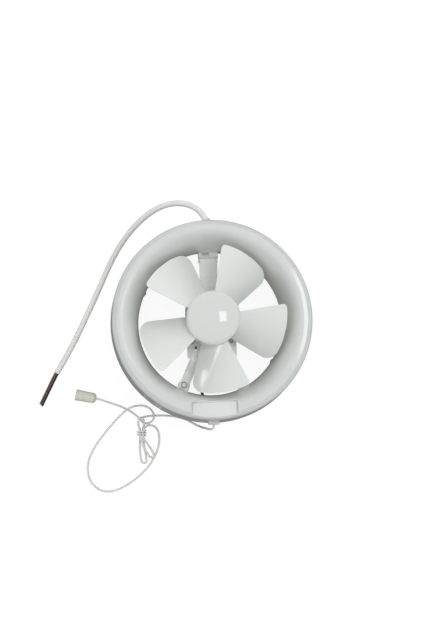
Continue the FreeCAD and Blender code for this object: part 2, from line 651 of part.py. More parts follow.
def end_shield():
    """A motor end shield, open at z = 0 and closed above, with a bearing boss and air slots."""
    inner = STACK_W - 2 * SHIELD_WALL
    shape = rounded_square(STACK_W, STACK_CORNER_R, 0, SHIELD_H)
    shape = shape.cut(rounded_square(inner, STACK_CORNER_R - SHIELD_WALL, -1, SHIELD_H - SHIELD_WALL))
    boss_top = SHIELD_H + BEARING_H * 0.65
    shape = shape.fuse(cylinder(BEARING_R + BOSS_WALL, boss_top - SHIELD_H + SHIELD_WALL + 2,
                                Vector(0, 0, SHIELD_H - SHIELD_WALL - 2)))
    for x in (-BOLT_AT, BOLT_AT):
        for y in (-BOLT_AT, BOLT_AT):
            shape = shape.fuse(cylinder(BOLT_D / 2 + 2.0, SHIELD_H, Vector(x, y, 0)))
            shape = shape.cut(cylinder(BOLT_D / 2 + PILOT_GAP, SHIELD_H * 3, Vector(x, y, -SHIELD_H)))
    shape = shape.cut(cylinder(BEARING_R, SHIELD_H * 3, Vector(0, 0, 0)))
    for quarter in range(4):
        half = STACK_W * 0.14
        air = box(STACK_W * 0.24, STACK_W * 0.34, -half, half, SHIELD_H * 0.5, SHIELD_H * 2)
        shape = shape.cut(turned(air, 90 * quarter))
        for y in (-8.0, 0.0, 8.0):
            gill = box(STACK_W * 0.4, STACK_W, y - 1.6, y + 1.6, SHIELD_H * 0.25, SHIELD_H * 0.72)
            shape = shape.cut(turned(gill, 90 * quarter))
    return shape.removeSplitter()


def front_shield():
    return placed(end_shield(), Vector(0, 0, STACK_TOP), UP)


def rear_shield():
    shape = end_shield()
    shape.rotate(ORIGIN, Vector(1, 0, 0), 180)
    shape.translate(Vector(0, 0, STACK_BOTTOM))
    return shape


def winding_window(gap, z0, z1):
    """One window through the core along +X, less a gap all round."""
    half = WINDOW_WIDE / 2 - gap
    return box(WINDOW_IN + gap, WINDOW_OUT - gap, -half, half, z0, z1)


def stator_core():
    shape = rounded_square(STACK_W, STACK_CORNER_R, STACK_BOTTOM, STACK_TOP)
    low = STACK_BOTTOM - 1
    tall = STACK_H + 2
    shape = shape.cut(cylinder(ROTOR_R + AIR_GAP, tall, Vector(0, 0, low)))
    for quarter in range(4):
        shape = shape.cut(turned(winding_window(0, low, low + tall), 90 * quarter))
        x = math.copysign(BOLT_AT, math.cos(math.radians(45 + 90 * quarter)))
        y = math.copysign(BOLT_AT, math.sin(math.radians(45 + 90 * quarter)))
        shape = shape.cut(cylinder(BOLT_D / 2 + PILOT_GAP, tall, Vector(x, y, low)))
    return shape


def stator_windings():
    """Copper through the core's windows, with a rounded bundle of end turns on both faces."""
    inner = WINDOW_IN + COIL_GAP
    outer = WINDOW_OUT - COIL_GAP
    shape = None
    for z in (STACK_BOTTOM - COIL_RISE, STACK_TOP + COIL_GAP):
        top = z + COIL_RISE - COIL_GAP
        turns = lathe([(inner, z), (outer, z), (outer, top), (inner, top)], [COIL_ROUND] * 4)
        shape = turns if shape is None else shape.fuse(turns)
    for quarter in range(4):
        bar = winding_window(COIL_GAP, STACK_BOTTOM - COIL_RISE / 2, STACK_TOP + COIL_RISE / 2)
        shape = shape.fuse(turned(bar, 90 * quarter))
    return shape.removeSplitter()


def bush(z):
    return lathe([(SHAFT_D / 2 + RUNNING_GAP, z), (BEARING_R, z), (BEARING_R, z + BEARING_H),
                  (SHAFT_D / 2 + RUNNING_GAP, z + BEARING_H)], [0, 0.6, 0.6, 0])


FRONT_BUSH_Z = PLATE_Z + BEARING_H * 0.65 - BEARING_H
REAR_BUSH_Z = STACK_BOTTOM - SHIELD_H - BEARING_H * 0.65


def bearing_springs():
    """A spring washer on the inner face of each bearing boss."""
    inner = SHAFT_D / 2 + 1.2
    outer = BEARING_R + BOSS_WALL - 0.5
    face = PLATE_Z - SHIELD_WALL - 2
    back = STACK_BOTTOM - SHIELD_H + SHIELD_WALL + 2
    front = lathe([(inner, face - 0.5), (outer, face - 0.5), (outer, face), (inner, face)])
    rear = lathe([(inner, back), (outer, back), (outer, back + 0.5), (inner, back + 0.5)])
    return Part.makeCompound([front, rear])


def motor_bolts():
    z = STACK_BOTTOM - SHIELD_H
    length = PLATE_Z + SHEET - z
    bolt = pan_screw(length, BOLT_D, BOLT_HEAD_D, BOLT_HEAD_H)
    down = Vector(0, 0, -1)
    return Part.makeCompound([placed(bolt, Vector(x, y, z), down)
                              for x in (-BOLT_AT, BOLT_AT) for y in (-BOLT_AT, BOLT_AT)])


SHAFT_TOP = HUB_TOP - HUB_SKIN - 8.0
BOSS_REAR = HUB_REAR + 5.0
BOSS_TOP = SHAFT_TOP - 2.6


def shaft():
    radius = SHAFT_D / 2
    bottom = REAR_BUSH_Z - 1.5
    groove = BOSS_TOP + 0.9
    return lathe([(0, bottom), (radius, bottom), (radius, BOSS_TOP), (radius - 0.6, BOSS_TOP),
                  (radius - 0.6, groove), (radius, groove), (radius, SHAFT_TOP), (0, SHAFT_TOP)],
                 [0, 0.5, 0, 0, 0, 0, 0.5, 0])


def hub_clip():
    """Open retaining clip in the shaft's groove, on the hub's boss."""
    low = BOSS_TOP
    ring = lathe([(SHAFT_D / 2 - 0.6, low), (SHAFT_D / 2 + 2.0, low), (SHAFT_D / 2 + 2.0, low + 0.8),
                  (SHAFT_D / 2 - 0.6, low + 0.8)])
    return ring.cut(box(0, SHAFT_D, -SHAFT_D * 0.3, SHAFT_D * 0.3, low - 1, low + 2))


def rotor_core():
    radius = SHAFT_D / 2
    ring_r = ROTOR_R * 0.86
    low = STACK_BOTTOM - END_RING_H
    high = STACK_TOP + END_RING_H
    return lathe([(radius, low), (ring_r, low), (ring_r, STACK_BOTTOM), (ROTOR_R, STACK_BOTTOM),
                  (ROTOR_R, STACK_TOP), (ring_r, STACK_TOP), (ring_r, high), (radius, high)])


def thrust_collars():
    """Collars on the shaft between the rotor and the bearings."""
    radius = SHAFT_D / 2
    outer = SHAFT_D / 2 + 1.0
    front = (STACK_TOP + END_RING_H, FRONT_BUSH_Z - 0.3)
    rear = (REAR_BUSH_Z + BEARING_H + 0.3, STACK_BOTTOM - END_RING_H)
    return Part.makeCompound([lathe([(radius, low), (outer, low), (outer, high), (radius, high)])
                              for low, high in (front, rear)])


def hub_edges(offset):
    """Half section of the hub's outside, moved inward by an offset, from its rear edge up to the axis."""
    side = HUB_R - offset
    top = HUB_TOP - offset
    rear = Vector(side + 0.5, 0, HUB_REAR)
    edge = Vector(side, 0, top - HUB_EDGE)
    shoulder = Vector(side - HUB_ROUND, 0, top - HUB_CROWN)
    corner = shoulder + Vector(HUB_ROUND, 0, -HUB_ROUND * HUB_SLOPE)
    inward = shoulder + Vector(-side * 0.28, 0, side * 0.28 * HUB_SLOPE)
    crown = Part.BezierCurve()
    crown.setPoles([shoulder, inward, Vector(side * 0.34, 0, top), Vector(0, 0, top)])
    return [Part.LineSegment(rear, edge).toShape(), quarter_curve(edge, corner, shoulder), crown.toShape()]


def hub_filled(offset):
    rear = Vector(HUB_R - offset + 0.5, 0, HUB_REAR)
    axis_low = Vector(0, 0, HUB_REAR)
    top = Vector(0, 0, HUB_TOP - offset)
    closing = [Part.LineSegment(top, axis_low).toShape(), Part.LineSegment(axis_low, rear).toShape()]
    return revolved(hub_edges(offset) + closing)


def blade_section(radius, width, rise, thickness):
    """A thin arched section across a blade, on the plane x = radius."""
    half = width / 2
    arch = width * CAMBER
    lean = half * rise
    lower = [Vector(radius, -half, -lean), Vector(radius, 0, arch), Vector(radius, half, lean)]
    up = Vector(0, 0, thickness * math.hypot(1, rise))
    upper = [point + up for point in lower]
    edges = [Part.Arc(*lower).toShape(), Part.LineSegment(lower[2], upper[2]).toShape(),
             Part.Arc(upper[2], upper[1], upper[0]).toShape(), Part.LineSegment(upper[0], lower[0]).toShape()]
    wire = Part.Wire(edges)
    wire.translate(Vector(0, 0, BLADE_Z))
    return wire


def blade():
    """One blade along +X: a twisted arched sheet, trimmed to the outline seen from the front."""
    root = blade_section(HUB_R * 0.7, HUB_R * 1.7, ROOT_RISE, BLADE_T)
    middle = blade_section(IMPELLER_R * 0.65, IMPELLER_R * 0.84, MID_RISE, BLADE_T * 0.9)
    tip = blade_section(IMPELLER_R * 1.05, IMPELLER_R, TIP_RISE, BLADE_T * 0.75)
    sheet = Part.makeLoft([root, middle, tip], True, False)
    inner = HUB_R * 0.93
    outer = IMPELLER_R * 1.12
    root_lead = polar(inner, LEAD_ROOT_DEG)
    root_trail = polar(inner, -TRAIL_ROOT_DEG)
    tip_lead = polar(IMPELLER_R, LEAD_TIP_DEG)
    tip_trail = polar(IMPELLER_R, -TRAIL_TIP_DEG)
    reach = outer / IMPELLER_R
    far_lead = root_lead + (tip_lead - root_lead) * reach
    far_trail = root_trail + (tip_trail - root_trail) * reach
    low = BLADE_Z - IMPELLER_R
    outline = prism([(point.x, point.y) for point in (root_trail, far_trail, far_lead, root_lead)],
                    low, BLADE_Z + IMPELLER_R)
    outline = outline.common(cylinder(IMPELLER_R, IMPELLER_R * 2, Vector(0, 0, low)))
    for side, radius in ((1, LEAD_CORNER_R), (-1, TRAIL_CORNER_R)):
        corner = [edge for edge in outline.Edges
                  if edge.BoundBox.ZLength > IMPELLER_R and edge.CenterOfMass.x > HUB_R * 1.5
                  and edge.CenterOfMass.y * side > IMPELLER_R * 0.1]
        outline = outline.makeFillet(radius, corner[:1])
    return sheet.common(outline)


def impeller():
    shape = hub_filled(0)
    one_blade = blade()
    for bearing in bearings(BLADE_FIRST, BLADES):
        shape = shape.fuse(turned(one_blade, bearing))
    hollow = hub_filled(HUB_SKIN)
    keep = cylinder(HUB_BOSS_R, HUB_TOP - BOSS_REAR, Vector(0, 0, BOSS_REAR))
    for bearing in bearings(BLADE_FIRST, HUB_RIBS):
        rib = box(0, HUB_R, -HUB_RIB_T / 2, HUB_RIB_T / 2, BOSS_REAR + 4.0, HUB_TOP)
        keep = keep.fuse(turned(rib, bearing))
    bore = cylinder(SHAFT_D / 2, BOSS_TOP - BOSS_REAR + 1, Vector(0, 0, BOSS_REAR - 1))
    cap = cylinder(SHAFT_D / 2 + 2.6, SHAFT_TOP + 1.0 - BOSS_TOP, Vector(0, 0, BOSS_TOP))
    return shape.cut(hollow.cut(keep)).cut(bore).cut(cap).removeSplitter()


def grommet_axis():
    return polar(1, 90 + CABLE_TILT)


def grommet_point(reach):
    """A point on the cable's way out, counted from the ring's wall."""
    return Vector(0, CABLE_WALL_R, CABLE_Z) + grommet_axis() * reach


def cable_grommet():
    head = cylinder(GROMMET_R, GROMMET_OUT * 3, grommet_point(-GROMMET_OUT * 2), grommet_axis())
    head = head.cut(wall_cone())
    neck = cylinder(GROMMET_NECK_R, GROMMET_IN + GROMMET_OUT, grommet_point(-GROMMET_IN), grommet_axis())
    return head.fuse(neck).removeSplitter()


def terminal_back():
    return RIM_R - SKIN - GROMMET_IN - 1.0


def terminal_block():
    half = TERMINAL_W / 2
    back = terminal_back()
    body = box(-half, half, back - TERMINAL_L, back, FLANGE_TOP, FLANGE_TOP + TERMINAL_H)
    for x in (-half / 2, half / 2):
        post = Vector(x, back - TERMINAL_L / 2, FLANGE_TOP + TERMINAL_H)
        body = body.fuse(cylinder(half * 0.38, 1.6, post))
        body = body.cut(cylinder(half * 0.2, 1.2, post + Vector(0, 0, 0.6)))
    return body.removeSplitter()


def supply_tail():
    """The cable between the grommet and the terminal block."""
    start = grommet_point(-GROMMET_IN)
    body = cylinder(CABLE_D / 2, GROMMET_IN * 2, start, grommet_axis() * -1)
    return body.cut(box(-RIM_R, RIM_R, 0, terminal_back(), 0, CREST_Z))


def motor_lead_points():
    """From the terminal block's underside, behind the throat and under the upper arm, to the motor."""
    x = TERMINAL_W / 3
    under = THROAT_Z - LEAD_D * 1.4
    start = THROAT_R - LEAD_REACH
    end = STACK_W / 2 + SLIP
    run = start - end
    level = PLATE_Z - LEAD_D * 2
    return [Vector(x, LEAD_AT, FLANGE_TOP), Vector(x, LEAD_AT, under), Vector(x, start, under),
            Vector(x, start - run * 0.4, FOOT_Z - LEAD_D), Vector(x, start - run * 0.68, level),
            Vector(x, end, level)]


def return_lead_points():
    """From the switch case's underside, round the back of the throat to the motor."""
    x = PULL_X - CASE_W * 0.32
    under = THROAT_Z - LEAD_D * 1.4
    start = -THROAT_R + LEAD_REACH
    end = -STACK_W / 2 - SLIP
    run = end - start
    level = PLATE_Z - LEAD_D * 2
    return [Vector(x, -LEAD_AT, FLANGE_TOP), Vector(x, -LEAD_AT, under),
            Vector(x - LEAD_D * 1.3, start, under), Vector(x - LEAD_D * 2.3, start + run * 0.35, under + LEAD_D),
            Vector(x - LEAD_D * 2, start + run * 0.7, level - 1), Vector(x - LEAD_D * 1.7, end, level)]


def switch_feed():
    """Live lead inside the ring, from the terminal block round to the switch."""
    radius = (BOSS_AT + BOSS_R + RIM_R - SKIN) / 2
    z = FLANGE_TOP + 5
    start = Vector(TERMINAL_W / 2, terminal_back() - TERMINAL_L / 2, z)
    end = Vector(PULL_X + CASE_W / 2, case_front() + CASE_L / 2, z)
    bend = [polar(radius, 70 - 17.5 * i, z) for i in range(9)]
    return tube("switch_feed", [start] + bend + [end], FEED_D)


def case_front():
    return -RIM_R + SKIN + CASE_BACK


def case_box(inset, z0, z1):
    """A box with the switch case's outline, inset all round."""
    half = CASE_W / 2 - inset
    front = case_front() + inset
    return box(PULL_X - half, PULL_X + half, front, front + CASE_L - 2 * inset, z0, z1)


def switch_case():
    top = FLANGE_TOP + CASE_H
    body = case_box(0, FLANGE_TOP, top)
    hollow = case_box(CASE_WALL, FLANGE_TOP + CASE_WALL, top + 1)
    inside = Vector(PULL_X, case_front() + CASE_WALL * 2, PULL_Z)
    bore = cylinder(STEM_R + STEM_GAP, CASE_WALL * 3, inside, Vector(0, -1, 0))
    return body.cut(hollow).cut(bore)


def switch_lid():
    top = FLANGE_TOP + CASE_H
    plug = case_box(CASE_WALL + 0.15, top - 1.2, top)
    return case_box(0, top, top + CASE_WALL).fuse(plug).removeSplitter()


def switch_contacts():
    """Two brass contact strips on the case's end walls."""
    half = CASE_W / 2 - CASE_WALL
    back = piston_rear()
    low = FLANGE_TOP + CASE_WALL
    sides = (PULL_X - half, PULL_X + half - 0.8)
    return Part.makeCompound([box(x, x + 0.8, back - 8.0, back, low, low + 11.0) for x in sides])


def piston_rear():
    return case_front() + CASE_L - CASE_WALL - 0.2


def switch_plunger():
    rear = piston_rear()
    along = Vector(0, -1, 0)
    stem_end = -PULL_WALL_R + SKIN * 1.4
    piston = cylinder(PISTON_R, PISTON_T, Vector(PULL_X, rear, PULL_Z), along)
    stem = cylinder(STEM_R, rear - stem_end, Vector(PULL_X, rear, PULL_Z), along)
    return piston.fuse(stem).removeSplitter()


def pull_cord_inner():
    """The length of cord inside the nozzle, from the plunger to the nozzle's mouth."""
    start = -PULL_WALL_R + SKIN * 1.4
    return cylinder(CORD_D / 2, start - NOZZLE_Y, Vector(PULL_X, start, PULL_Z), Vector(0, -1, 0))


def switch_spring():
    """Return spring round the plunger's stem, between the piston and the case."""
    start = piston_rear() - PISTON_T - SPRING_WIRE / 2 - 0.1
    end = case_front() + CASE_WALL + SPRING_WIRE / 2 + 0.1
    steps = SPRING_TURNS * 8
    points = []
    for i in range(steps + 1):
        turn = 2 * math.pi * i / 8
        y = start + (end - start) * i / steps
        x = PULL_X + SPRING_R * math.cos(turn)
        points.append(Vector(x, y, PULL_Z + SPRING_R * math.sin(turn)))
    return tube("switch_spring", points, SPRING_WIRE, True)


def cord_nozzle():
    """Square nozzle on the outside of the ring's wall, with a neck through it."""
    half = NOZZLE_W / 2
    back = -PULL_WALL_R + SKIN * 2
    block = box(PULL_X - half, PULL_X + half, NOZZLE_Y, back, PULL_Z - half, PULL_Z + half)
    block = block.cut(wall_cone())
    rounded = [edge for edge in block.Edges if edge.BoundBox.YMax - NOZZLE_Y < 0.01]
    block = block.makeFillet(0.8, rounded)
    along = Vector(0, -1, 0)
    neck_start = -PULL_WALL_R + SKIN + 1.0
    neck = cylinder(NOZZLE_NECK_R, neck_start + PULL_WALL_R + 1, Vector(PULL_X, neck_start, PULL_Z), along)
    bore = cylinder(NOZZLE_BORE_R, RIM_R, Vector(PULL_X, neck_start + 1, PULL_Z), along)
    return block.fuse(neck).cut(bore).removeSplitter()


def pull_knob(end, axis):
    """Thimble-shaped knob on its side; its nose, where the cord enters, is at the end of the cord."""
    nose = KNOB_NOSE_R
    rim = KNOB_R
    body = lathe([(0, 0), (nose, 0), (rim - 0.3, KNOB_LEN - 2.0), (rim, KNOB_LEN - 1.8), (rim, KNOB_LEN),
                  (rim - 1.2, KNOB_LEN), (rim - 1.4, KNOB_LEN - 1.6), (0, KNOB_LEN - 1.6)],
                 [0, nose * 0.72, 0, 0, 0.5, 0.3, 0, 0])
    return placed(body, end, axis)


def hank_tie(centre):
    """The wrap round the neck of the hank."""
    points = []
    steps = int(TIE_TURNS * 10)
    for i in range(steps + 1):
        turn = 2 * math.pi * i / 10
        y = centre.y - TIE_PITCH * i / 10
        points.append(Vector(centre.x + TIE_R * math.cos(turn), y, centre.z + TIE_R * math.sin(turn)))
    return tube("hank_tie", points, CORD_D * 0.85, True)


os.makedirs("parts", exist_ok=True)

cable_exit = grommet_point(GROMMET_OUT)
cable_points = route(CABLE_ROUTE, cable_exit)
cable_end = cable_points[-1]
cable_way = (cable_end - cable_points[-2]).normalize()
core_side = cable_way.cross(UP).normalize() * (CORE_D * 0.52)
pull_exit = Vector(PULL_X, NOZZLE_Y, PULL_Z)
lead_points = route(PULL_LEAD, pull_exit)
hank_points = route(PULL_HANK, pull_exit)
loop_points = route(PULL_LOOP, pull_exit)
tail_points = route(PULL_TAIL, pull_exit)
knob_axis = (tail_points[-1] - tail_points[-2]).normalize()
tie_centre = Vector(pull_exit.x + TIE_X, pull_exit.y + TIE_Y, TIE_Z)

pieces = {
    "front_ring": front_ring(),
    "nameplate": nameplate(),
    "rear_tube": rear_tube(),
    "ring_screws": rear_screws(RING_FIRST, SEAT_Z),
    "pane_gasket": pane_gasket(),
    "clamp_ring": clamp_ring(),
    "clamp_screws": rear_screws(CLAMP_FIRST, CLAMP_EAR_Z),
    "motor_bracket": motor_bracket(),
    "bracket_screws": bracket_screws(),
    "front_shield": front_shield(),
    "rear_shield": rear_shield(),
    "stator_core": stator_core(),
    "stator_windings": stator_windings(),
    "front_bearing": bush(FRONT_BUSH_Z),
    "rear_bearing": bush(REAR_BUSH_Z),
    "bearing_springs": bearing_springs(),
    "motor_bolts": motor_bolts(),
    "shaft": shaft(),
    "rotor_core": rotor_core(),
    "thrust_collars": thrust_collars(),
    "hub_clip": hub_clip(),
    "impeller": impeller(),
    "cable_grommet": cable_grommet(),
    "supply_tail": supply_tail(),
    "terminal_block": terminal_block(),
    "motor_lead": tube("motor_lead", motor_lead_points(), LEAD_D),
    "switch_return": tube("switch_return", return_lead_points(), LEAD_D),
    "switch_feed": switch_feed(),
    "switch_case": switch_case(),
    "switch_lid": switch_lid(),
    "switch_contacts": switch_contacts(),
    "switch_plunger": switch_plunger(),
    "switch_spring": switch_spring(),
    "cord_nozzle": cord_nozzle(),
    "pull_cord_inner": pull_cord_inner(),
    "pull_cord_lead": tube("pull_cord_lead", joined([], lead_points, hank_points), CORD_D),
    "pull_cord_hank": tube("pull_cord_hank", joined(lead_points, hank_points, loop_points), CORD_D, True),
    "pull_cord_loop": tube("pull_cord_loop", joined(hank_points, loop_points, tail_points), CORD_D, True),
    "pull_cord_tail": tube("pull_cord_tail", joined(loop_points, tail_points, []), CORD_D),
    "hank_tie": hank_tie(tie_centre),
    "pull_knob": pull_knob(tail_points[-1], knob_axis),
    "power_cord": tube("power_cord", cable_points, CABLE_D),
    "core_brown": tube("core_brown", route(BROWN_ROUTE, cable_end + core_side), CORE_D),
    "core_blue": tube("core_blue", route(BLUE_ROUTE, cable_end - core_side), CORE_D),
}

for name, shape in pieces.items():
    shape.exportStep("parts/" + name + ".step")
    print("%s: %d solids, valid %s, volume %.1f" % (name, len(shape.Solids), shape.isValid(), shape.Volume))
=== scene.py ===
"""Looks of a round window exhaust fan with a pull switch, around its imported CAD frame."""

import json
import math

import bpy
import bmesh
from mathutils import Matrix, Vector


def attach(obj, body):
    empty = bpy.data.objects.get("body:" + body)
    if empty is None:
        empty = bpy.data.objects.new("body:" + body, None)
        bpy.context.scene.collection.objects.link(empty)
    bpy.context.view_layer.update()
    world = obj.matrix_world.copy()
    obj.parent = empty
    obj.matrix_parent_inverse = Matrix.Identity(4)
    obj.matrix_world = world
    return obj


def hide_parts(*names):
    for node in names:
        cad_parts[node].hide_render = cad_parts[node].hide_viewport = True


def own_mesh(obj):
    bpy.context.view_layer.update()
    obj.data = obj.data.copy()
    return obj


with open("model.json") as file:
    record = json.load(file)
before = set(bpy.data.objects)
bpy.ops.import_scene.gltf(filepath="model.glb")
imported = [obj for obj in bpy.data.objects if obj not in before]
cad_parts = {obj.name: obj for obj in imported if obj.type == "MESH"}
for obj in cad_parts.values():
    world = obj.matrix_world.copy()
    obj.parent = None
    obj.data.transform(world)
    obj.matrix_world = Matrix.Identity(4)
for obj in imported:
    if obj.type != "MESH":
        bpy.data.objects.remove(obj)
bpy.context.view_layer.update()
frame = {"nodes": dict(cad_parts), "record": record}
nodes = frame["nodes"]
scene = bpy.context.scene

MM = 0.001

# Camera: the photo's view, a little below and left of the fan's axis
IMAGE_W = 421
IMAGE_H = 631
PIVOT = Vector((0.0, 0.0, 0.076))
VIEW_BACK = Vector((-0.0613, -0.1058, 0.9925)).normalized()
VIEW_ROLL = math.radians(1.9)
VIEW_DISTANCE = 0.750
PIVOT_PX = (211.75, 320.60)     # where the photo shows the pivot
PX_PER_MM = 0.98848             # at the pivot's distance
SENSOR = 36.0

# Cord routes, repeated from the part's source in millimetres: X and Y from the exit, Z from the floor
PULL_Z = 70.0
PULL_X = -1.6
CABLE_Z = 68.0
RIM_R = 103.2
WALL_DRAFT = 4.2
WALL_DEPTH = 39.0
SEAT_Z = 58.0
NOZZLE_OUT = 2.6
GROMMET_OUT = 4.0
CABLE_TILT = math.radians(25.0)
FLOOR_CORD = 1.2
FLOOR_CABLE = 3.1
KNOB_R = 6.1
CORD_D = 2.2
CABLE_D = 6.0
CORE_D = 2.4
CORE_APART = 0.52       # a core's middle from the cable's, in core diameters
LEAD_D = 3.0


def wall_radius(z):
    return RIM_R - WALL_DRAFT * (z - SEAT_Z) / WALL_DEPTH


PULL_EXIT = Vector((PULL_X, -(wall_radius(PULL_Z) + NOZZLE_OUT), PULL_Z))
CABLE_EXIT = Vector((-GROMMET_OUT * math.sin(CABLE_TILT),
                     wall_radius(CABLE_Z) + GROMMET_OUT * math.cos(CABLE_TILT), CABLE_Z))
CABLE_ROUTE = [
    (0.0, 0.0, CABLE_Z), (-2.96, 6.35, CABLE_Z), (-10.5, 14.8, CABLE_Z - 2.4), (-22.6, 20.7, 61.0),
    (-37.4, 21.9, 55.0), (-52.3, 18.1, 48.5), (-66.7, 9.7, 40.5), (-80.1, -1.4, 31.5),
    (-91.8, -14.5, 22.0), (-101.7, -28.9, 13.2), (-110.5, -44.8, 6.4), (-118.8, -62.2, FLOOR_CABLE),
    (-129.5, -84.5, FLOOR_CABLE), (-143.5, -112.8, FLOOR_CABLE), (-154.3, -132.4, FLOOR_CABLE),
    (-165.1, -150.1, FLOOR_CABLE),
]
BROWN_ROUTE = [
    (0.0, 0.0, 3.1), (-2.1, -3.7, 3.0), (-7.0, -13.0, 1.9), (-12.4, -23.6, 1.3), (-17.4, -33.6, 1.3),
]
BLUE_ROUTE = [
    (0.0, 0.0, 3.1), (-2.1, -3.7, 3.0), (-7.0, -13.0, 1.9), (-12.4, -23.6, 1.3), (-17.7, -34.2, 1.3),
]
# The pull cord: out of the nozzle, down to the floor and along the ring
PULL_LEAD = [
    (0.0, 0.0, PULL_Z), (0.0, -2.8, PULL_Z), (-2.1, -4.4, 68.2), (-3.6, -4.7, 64.0), (-5.8, -4.5, 56.0),
    (-8.6, -3.9, 46.0), (-11.6, -3.0, 34.0), (-14.8, -1.8, 22.5), (-18.8, 0.4, 12.0), (-23.8, 3.2, 4.8),
    (-30.4, 6.2, 1.6), (-41.0, 8.9, FLOOR_CORD), (-53.7, 10.1, FLOOR_CORD), (-65.3, 10.2, FLOOR_CORD),
]
PULL_HANK = [
    # down the first strand and back up the second
    (-72.5, 9.3, FLOOR_CORD), (-77.2, 7.6, FLOOR_CORD), (-79.0, 3.6, 1.6), (-77.7, -0.9, 3.4),
    (-76.5, -5.2, 4.3), (-76.5, -10.5, 4.3), (-77.4, -17.1, 2.8), (-77.6, -24.2, FLOOR_CORD),
    (-77.2, -30.8, FLOOR_CORD), (-76.6, -35.7, FLOOR_CORD), (-76.0, -38.9, FLOOR_CORD),
    (-74.4, -40.4, FLOOR_CORD), (-72.2, -40.5, FLOOR_CORD), (-70.6, -39.0, FLOOR_CORD),
    (-70.8, -35.8, FLOOR_CORD), (-71.4, -31.4, FLOOR_CORD), (-72.4, -25.1, FLOOR_CORD),
    (-73.1, -18.1, 2.6), (-73.5, -11.4, 4.3), (-73.5, -5.3, 4.3),
    # round the top of the knot
    (-72.6, -0.7, 4.2), (-71.6, 3.3, 4.6), (-72.2, 6.5, 5.8), (-74.6, 8.5, 7.0), (-77.4, 7.5, 7.6),
    (-78.6, 4.3, 7.6), (-77.6, -0.3, 7.3),
    # down the third strand, which crosses the second, and up the fourth
    (-76.5, -5.3, 7.1), (-76.5, -10.5, 7.1), (-75.6, -16.2, 6.0), (-73.8, -21.9, 5.0),
    (-71.2, -27.0, 4.5), (-68.8, -30.6, 4.2), (-67.6, -33.0, 4.0), (-66.2, -34.6, 3.9),
    (-64.0, -34.6, 3.9), (-62.6, -33.1, 3.9), (-62.8, -30.1, 3.8), (-64.6, -26.6, 3.5),
    (-67.4, -22.4, 3.5), (-70.2, -18.2, 4.8), (-72.4, -14.3, 6.4), (-73.5, -10.1, 7.1),
    (-73.3, -5.3, 7.1), (-71.4, -1.7, 6.6), (-68.0, -0.1, 4.2),
]
PULL_LOOP = [
    (-64.4, 0.1, 1.8), (-60.3, -1.7, FLOOR_CORD), (-57.4, -5.9, FLOOR_CORD), (-55.6, -13.4, FLOOR_CORD),
    (-57.1, -23.4, FLOOR_CORD), (-61.0, -33.2, FLOOR_CORD), (-66.7, -41.9, FLOOR_CORD),
    (-74.0, -49.9, FLOOR_CORD), (-82.9, -57.1, FLOOR_CORD), (-92.7, -63.3, FLOOR_CORD),
    (-102.3, -67.7, FLOOR_CORD), (-112.0, -69.4, FLOOR_CORD), (-120.6, -67.8, FLOOR_CORD),
    (-127.7, -62.5, FLOOR_CORD), (-132.7, -55.0, FLOOR_CORD), (-134.5, -45.6, FLOOR_CORD),
    (-133.2, -34.5, FLOOR_CORD), (-128.1, -23.8, FLOOR_CORD), (-120.0, -12.5, FLOOR_CORD),
    (-110.0, -0.7, 1.4), (-99.7, 9.9, 2.6), (-92.1, 16.8, 4.3), (-85.2, 20.6, 4.3), (-77.4, 22.0, 2.6),
    (-69.7, 21.0, 2.0), (-63.9, 17.1, 3.4), (-61.0, 11.7, 4.3), (-61.3, 6.5, 3.9),
]
# through the knot, over the first strand, and on to the knob
PULL_TAIL = [
    (-64.6, 3.1, 2.8), (-68.6, 2.0, 1.7), (-72.0, 2.4, 1.6), (-74.4, 4.5, 3.2), (-76.2, 7.0, 4.4),
    (-78.6, 9.5, 4.2), (-81.8, 12.4, 2.4), (-86.1, 15.6, FLOOR_CORD), (-92.1, 19.2, FLOOR_CORD),
    (-100.6, 23.1, FLOOR_CORD), (-109.3, 26.2, 1.7), (-115.4, 28.7, 4.2), (-119.1, 30.2, KNOB_R),
    (-123.0, 31.1, KNOB_R),
]
# Leads behind the fan, in the fan's own frame
ORIGIN = Vector((0.0, 0.0, 0.0))
MOTOR_LEAD = [
    (6.0, 83.8, 61.0), (6.0, 83.8, 43.8), (6.0, 65.0, 43.8), (6.0, 49.2, 49.0), (6.0, 38.1, 54.0),
    (6.0, 25.4, 54.0),
]
RETURN_LEAD = [
    (-8.6, -83.8, 61.0), (-8.6, -83.8, 43.8), (-12.5, -65.0, 43.8), (-15.5, -51.1, 46.8),
    (-14.6, -37.3, 53.0), (-13.7, -25.4, 54.0),
]
TIE_R = 4.5
TIE_CENTRE = (-75.0, -5.2, FLOOR_CORD + TIE_R)
TIE_TURNS = 2
TIE_PITCH = 2.8
TIE_D = 0.85 * CORD_D   # drawn tight
SPRING_R = 3.3
SPRING_WIRE = 0.6
SPRING_TURNS = 4
SPRING_REAR = -84.7     # the switch spring's ends, along Y
SPRING_FRONT = -93.7

# How finely the cords are drawn: the step along them in metres and the sides round them
CABLE_MESH = (0.0020, 24)
CORE_MESH = (0.0010, 20)
LEAD_MESH = (0.0012, 20)
CORD_MESH = (0.00045, 16)
SPRING_SIDES = 8
SPLINE_STEPS = 14       # between two points of a route, before the even steps
TIE_POINTS = 10         # in each turn
SPRING_POINTS = 24
ROUNDING = 1e-12

# The pull cord's weave
YARNS = 4               # repeats round the cord
CORD_LAY = 0.0030       # length of a repeat along it, in metres
TIE_LAY = 0.0026
YARN_DEPTH = 0.04       # relief, over the cord's radius

# The impeller's domed hub cap, which is smoother than the blades and has a painted shade that makes it a
# little darker, to offset the stronger light on its flat top
HUB_CAP_R = 0.0271
HUB_CAP_PAINTED_SHADE = 0.87
HUB_CAP_ROUGH = 0.010
CAP_EDGE = 1.01         # where a cap's finish ends, over its radius

